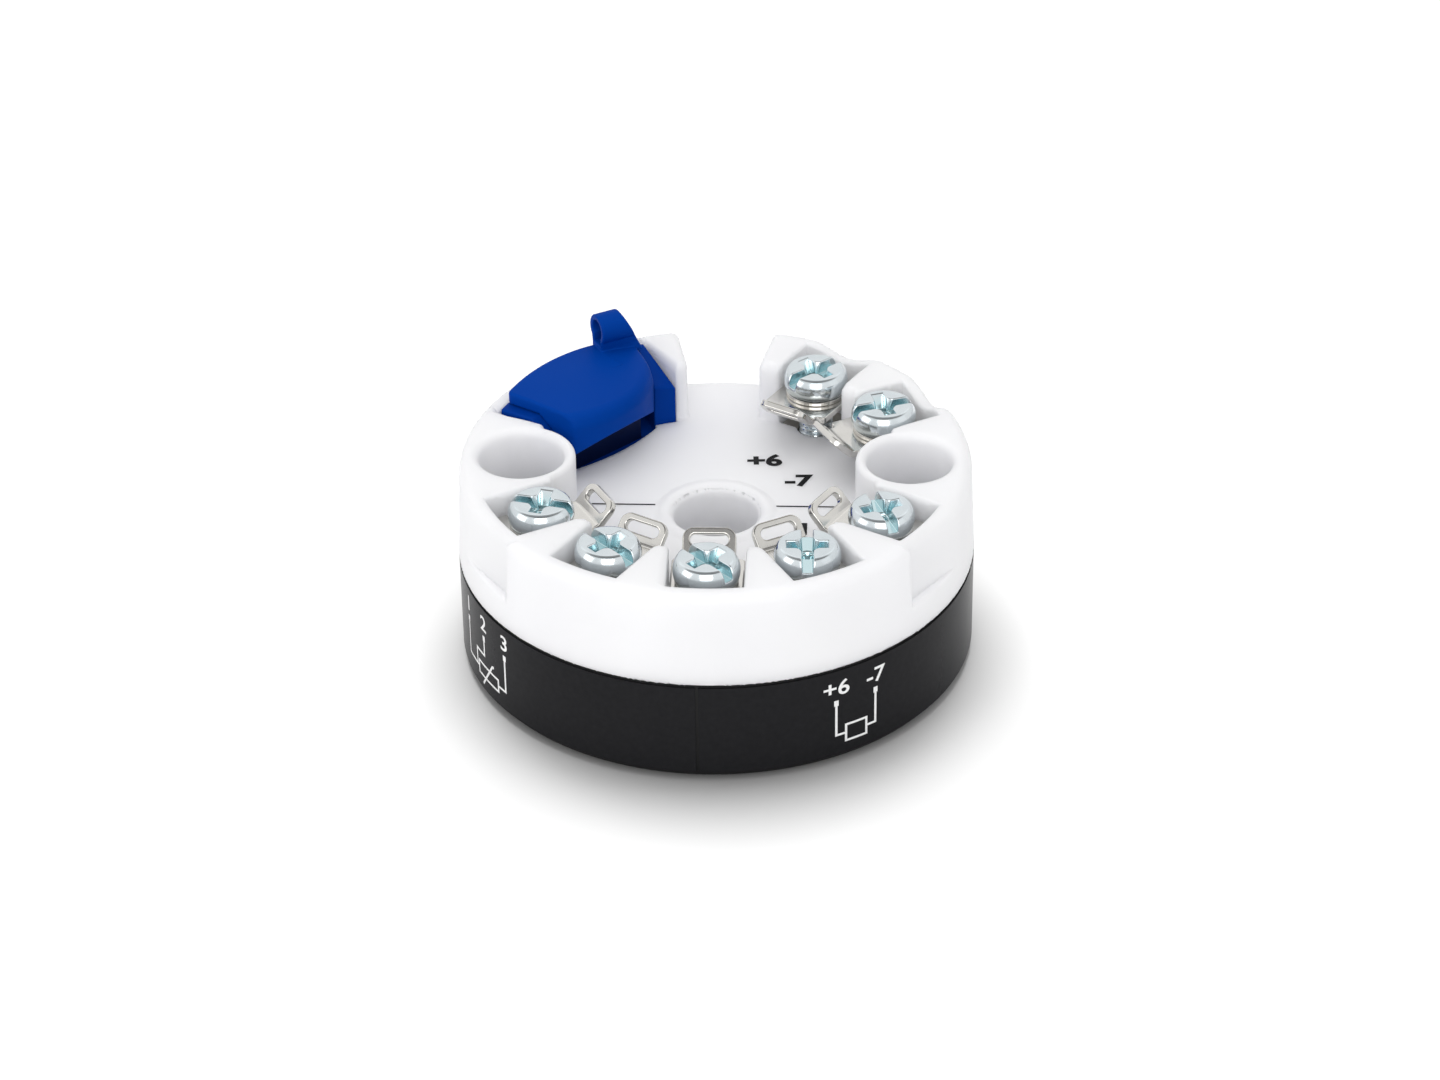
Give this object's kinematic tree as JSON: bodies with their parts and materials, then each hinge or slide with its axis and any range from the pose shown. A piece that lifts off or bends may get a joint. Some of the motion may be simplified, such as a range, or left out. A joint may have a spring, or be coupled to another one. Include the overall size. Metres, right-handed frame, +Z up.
{
  "type": "head-mounted temperature transmitter",
  "caption": "Round head-mounted temperature transmitter with screw terminals in a white housing, a black potted base cup and a blue service-port cover.",
  "frame": {"origin": "centre of the round base, on its underside", "axes": "+Z up through the centre hole, the back slot opens towards +Y, the two mounting holes lie on X"},
  "size_m": [0.0442, 0.0442, 0.0224],
  "materials": {
    "white_plastic": "satin, finely textured moulding",
    "black_plastic": "satin moulding",
    "label_film": "glossy printed film",
    "potting_resin": "cast resin, satin",
    "board_laminate": "solder mask, satin",
    "chip_body": "moulded package",
    "ferrite": "ground ferrite",
    "chip_capacitor": "ceramic",
    "chip_resistor": "ceramic",
    "blue_plastic": "satin moulding",
    "blue_rubber": "soft satin elastomer",
    "socket_plastic": "dark moulding",
    "gold_contact": "gold flashed",
    "tinned_brass": "tin plated",
    "nickel_plate": "bright nickel plate on strip and washers",
    "zinc_steel": "zinc plated, blue passivated"
  },
  "bodies": {
    "module": {"upper_housing": "white_plastic", "base_cup": "black_plastic", "label_band": "label_film", "potting": "potting_resin", "circuit_board": "board_laminate", "microcontroller": "chip_body", "signal_converter": "chip_body", "isolation_transformer": "ferrite", "board_capacitors": "chip_capacitor", "board_resistors": "chip_resistor", "port_liner": "blue_plastic", "service_socket": "socket_plastic", "socket_contacts": "gold_contact", "contact_block_1": "tinned_brass", "contact_block_2": "tinned_brass", "contact_block_3": "tinned_brass", "contact_block_4": "tinned_brass", "contact_block_5": "tinned_brass", "contact_block_6": "tinned_brass", "contact_block_7": "tinned_brass"},
    "cover": {"port_cover": "blue_rubber"},
    "clamp_1": {"clamp_plate_1": "nickel_plate", "clamp_washer_1": "nickel_plate"},
    "screw_1": {"terminal_screw_1": "zinc_steel"},
    "clamp_2": {"clamp_plate_2": "nickel_plate", "clamp_washer_2": "nickel_plate"},
    "screw_2": {"terminal_screw_2": "zinc_steel"},
    "clamp_3": {"clamp_plate_3": "nickel_plate", "clamp_washer_3": "nickel_plate"},
    "screw_3": {"terminal_screw_3": "zinc_steel"},
    "clamp_4": {"clamp_plate_4": "nickel_plate", "clamp_washer_4": "nickel_plate"},
    "screw_4": {"terminal_screw_4": "zinc_steel"},
    "clamp_5": {"clamp_plate_5": "nickel_plate", "clamp_washer_5": "nickel_plate"},
    "screw_5": {"terminal_screw_5": "zinc_steel"},
    "clamp_6": {"clamp_plate_6": "nickel_plate", "clamp_washer_6": "nickel_plate"},
    "screw_6": {"terminal_screw_6": "zinc_steel"},
    "clamp_7": {"clamp_plate_7": "nickel_plate", "clamp_washer_7": "nickel_plate"},
    "screw_7": {"terminal_screw_7": "zinc_steel"}
  },
  "joints": [
    {"name": "cover_pull", "type": "slide", "parent": "module", "child": "cover", "axis": [0, 0, 1], "range_m": [0, 0.008]},
    {"name": "clamp_1_travel", "type": "slide", "parent": "module", "child": "clamp_1", "axis": [0, 0, 1], "range_m": [-0.0029, 0]},
    {"name": "screw_1_turn", "type": "hinge", "parent": "clamp_1", "child": "screw_1", "pos_m": [-0.0142, -0.0082, 0.01645], "axis": [0, 0, 1], "range_deg": [-2088, 0]},
    {"name": "clamp_2_travel", "type": "slide", "parent": "module", "child": "clamp_2", "axis": [0, 0, 1], "range_m": [-0.0029, 0]},
    {"name": "screw_2_turn", "type": "hinge", "parent": "clamp_2", "child": "screw_2", "pos_m": [-0.0082, -0.0142, 0.01645], "axis": [0, 0, 1], "range_deg": [-2088, 0]},
    {"name": "clamp_3_travel", "type": "slide", "parent": "module", "child": "clamp_3", "axis": [0, 0, 1], "range_m": [-0.0029, 0]},
    {"name": "screw_3_turn", "type": "hinge", "parent": "clamp_3", "child": "screw_3", "pos_m": [0, -0.0164, 0.01645], "axis": [0, 0, 1], "range_deg": [-2088, 0]},
    {"name": "clamp_4_travel", "type": "slide", "parent": "module", "child": "clamp_4", "axis": [0, 0, 1], "range_m": [-0.0029, 0]},
    {"name": "screw_4_turn", "type": "hinge", "parent": "clamp_4", "child": "screw_4", "pos_m": [0.0082, -0.0142, 0.01645], "axis": [0, 0, 1], "range_deg": [-2088, 0]},
    {"name": "clamp_5_travel", "type": "slide", "parent": "module", "child": "clamp_5", "axis": [0, 0, 1], "range_m": [-0.0029, 0]},
    {"name": "screw_5_turn", "type": "hinge", "parent": "clamp_5", "child": "screw_5", "pos_m": [0.0142, -0.0082, 0.01645], "axis": [0, 0, 1], "range_deg": [-2088, 0]},
    {"name": "clamp_6_travel", "type": "slide", "parent": "module", "child": "clamp_6", "axis": [0, 0, 1], "range_m": [-0.0029, 0]},
    {"name": "screw_6_turn", "type": "hinge", "parent": "clamp_6", "child": "screw_6", "pos_m": [0.0082, 0.0142, 0.01645], "axis": [0, 0, 1], "range_deg": [-2088, 0]},
    {"name": "clamp_7_travel", "type": "slide", "parent": "module", "child": "clamp_7", "axis": [0, 0, 1], "range_m": [-0.0029, 0]},
    {"name": "screw_7_turn", "type": "hinge", "parent": "clamp_7", "child": "screw_7", "pos_m": [0.0142, 0.0082, 0.01645], "axis": [0, 0, 1], "range_deg": [-2088, 0]}
  ],
  "couplings": [
    {"joint": "screw_1_turn", "follows": "clamp_1_travel", "rad_per_m": 12566},
    {"joint": "screw_2_turn", "follows": "clamp_2_travel", "rad_per_m": 12566},
    {"joint": "screw_3_turn", "follows": "clamp_3_travel", "rad_per_m": 12566},
    {"joint": "screw_4_turn", "follows": "clamp_4_travel", "rad_per_m": 12566},
    {"joint": "screw_5_turn", "follows": "clamp_5_travel", "rad_per_m": 12566},
    {"joint": "screw_6_turn", "follows": "clamp_6_travel", "rad_per_m": 12566},
    {"joint": "screw_7_turn", "follows": "clamp_7_travel", "rad_per_m": 12566}
  ]
}
